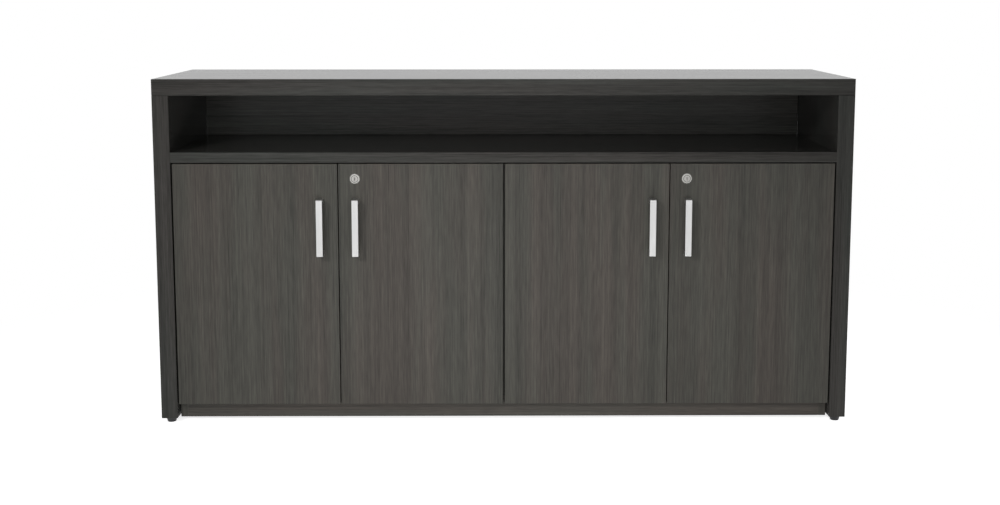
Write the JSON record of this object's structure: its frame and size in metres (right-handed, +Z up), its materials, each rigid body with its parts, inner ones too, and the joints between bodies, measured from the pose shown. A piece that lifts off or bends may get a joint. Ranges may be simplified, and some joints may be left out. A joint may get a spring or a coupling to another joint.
{
  "type": "office credenza",
  "caption": "Low office credenza with an open compartment under its top, hinged doors with bow handles and cam locks, a recessed plinth and levelling feet.",
  "frame": {"origin": "on the floor, under the middle of the whole object's box, handles included", "axes": "+Z up, the doors face -Y, +X to the right as seen from the front"},
  "size_m": [1.7, 0.458, 0.856],
  "materials": {
    "frame_laminate": "dark charcoal wood-grain laminate, satin",
    "door_laminate": "dark grey-brown wood-grain laminate, satin",
    "carcass_laminate": "dark grey laminate, satin",
    "back_board": "dark faced hardboard, matt",
    "dowel_wood": "plain beech",
    "handle_metal": "satin silver",
    "lock_chrome": "bright nickel plate",
    "hinge_steel": "zinc or nickel plated steel",
    "foot_plastic": "black moulded nylon",
    "bumper_rubber": "soft dark rubber"
  },
  "bodies": {
    "root": {"top_panel": "frame_laminate", "left_end_panel": "frame_laminate", "right_end_panel": "frame_laminate", "deck_panel": "frame_laminate", "carcass_left_side": "carcass_laminate", "carcass_right_side": "carcass_laminate", "centre_partition": "carcass_laminate", "bottom_panel": "carcass_laminate", "front_plinth": "carcass_laminate", "rear_plinth": "carcass_laminate", "plinth_cross_rail": "carcass_laminate", "upper_back_panel": "carcass_laminate", "lower_back_panels": "back_board", "shelf_left": "carcass_laminate", "shelf_right": "carcass_laminate", "shelf_pins": "hinge_steel", "frame_dowels": "dowel_wood", "carcass_screws": "hinge_steel", "side_spacers": "foot_plastic", "hinge_plates": "hinge_steel", "hinge_arms": "hinge_steel", "hinge_screws": "hinge_steel", "lock_strikes": "lock_chrome", "foot_inserts": "hinge_steel", "door_bumpers": "bumper_rubber", "centre_feet": "foot_plastic"},
    "left_outer_door": {"left_outer_door": "door_laminate", "left_outer_handle": "handle_metal", "left_outer_door_screws": "hinge_steel", "left_outer_hinge_cups": "hinge_steel", "left_outer_hinge_pins": "hinge_steel"},
    "left_inner_lock": {"left_inner_lock_plug": "lock_chrome", "left_inner_lock_cam": "hinge_steel"},
    "left_inner_door": {"left_inner_door": "door_laminate", "left_inner_handle": "handle_metal", "left_inner_door_screws": "hinge_steel", "left_inner_hinge_cups": "hinge_steel", "left_inner_hinge_pins": "hinge_steel", "left_inner_lock_body": "lock_chrome"},
    "right_inner_door": {"right_inner_door": "door_laminate", "right_inner_handle": "handle_metal", "right_inner_door_screws": "hinge_steel", "right_inner_hinge_cups": "hinge_steel", "right_inner_hinge_pins": "hinge_steel"},
    "right_outer_lock": {"right_outer_lock_plug": "lock_chrome", "right_outer_lock_cam": "hinge_steel"},
    "right_outer_door": {"right_outer_door": "door_laminate", "right_outer_handle": "handle_metal", "right_outer_door_screws": "hinge_steel", "right_outer_hinge_cups": "hinge_steel", "right_outer_hinge_pins": "hinge_steel", "right_outer_lock_body": "lock_chrome"},
    "left_front_foot": {"left_front_foot": "foot_plastic"},
    "left_rear_foot": {"left_rear_foot": "foot_plastic"},
    "right_front_foot": {"right_front_foot": "foot_plastic"},
    "right_rear_foot": {"right_rear_foot": "foot_plastic"}
  },
  "joints": [
    {"name": "left_outer_door_hinge", "type": "hinge", "parent": "root", "child": "left_outer_door", "pos_m": [-0.7967, -0.1924, 0.3495], "axis": [0, 0, -1], "range_deg": [0, 95]},
    {"name": "left_inner_door_hinge", "type": "hinge", "parent": "root", "child": "left_inner_door", "pos_m": [-0.0118, -0.1924, 0.3495], "axis": [0, 0, 1], "range_deg": [0, 85]},
    {"name": "left_inner_lock_turn", "type": "hinge", "parent": "left_inner_door", "child": "left_inner_lock", "pos_m": [-0.363, -0.189, 0.6134], "axis": [0, -1, 0], "range_deg": [0, 90]},
    {"name": "right_inner_door_hinge", "type": "hinge", "parent": "root", "child": "right_inner_door", "pos_m": [0.0118, -0.1924, 0.3495], "axis": [0, 0, -1], "range_deg": [0, 85]},
    {"name": "right_outer_door_hinge", "type": "hinge", "parent": "root", "child": "right_outer_door", "pos_m": [0.7967, -0.1924, 0.3495], "axis": [0, 0, 1], "range_deg": [0, 95]},
    {"name": "right_outer_lock_turn", "type": "hinge", "parent": "right_outer_door", "child": "right_outer_lock", "pos_m": [0.4455, -0.189, 0.6134], "axis": [0, -1, 0], "range_deg": [0, 90]},
    {"name": "left_front_foot_adjust", "type": "slide", "parent": "root", "child": "left_front_foot", "axis": [0, 0, -1], "range_m": [0, 0.01]},
    {"name": "left_rear_foot_adjust", "type": "slide", "parent": "root", "child": "left_rear_foot", "axis": [0, 0, -1], "range_m": [0, 0.01]},
    {"name": "right_front_foot_adjust", "type": "slide", "parent": "root", "child": "right_front_foot", "axis": [0, 0, -1], "range_m": [0, 0.01]},
    {"name": "right_rear_foot_adjust", "type": "slide", "parent": "root", "child": "right_rear_foot", "axis": [0, 0, -1], "range_m": [0, 0.01]}
  ]
}
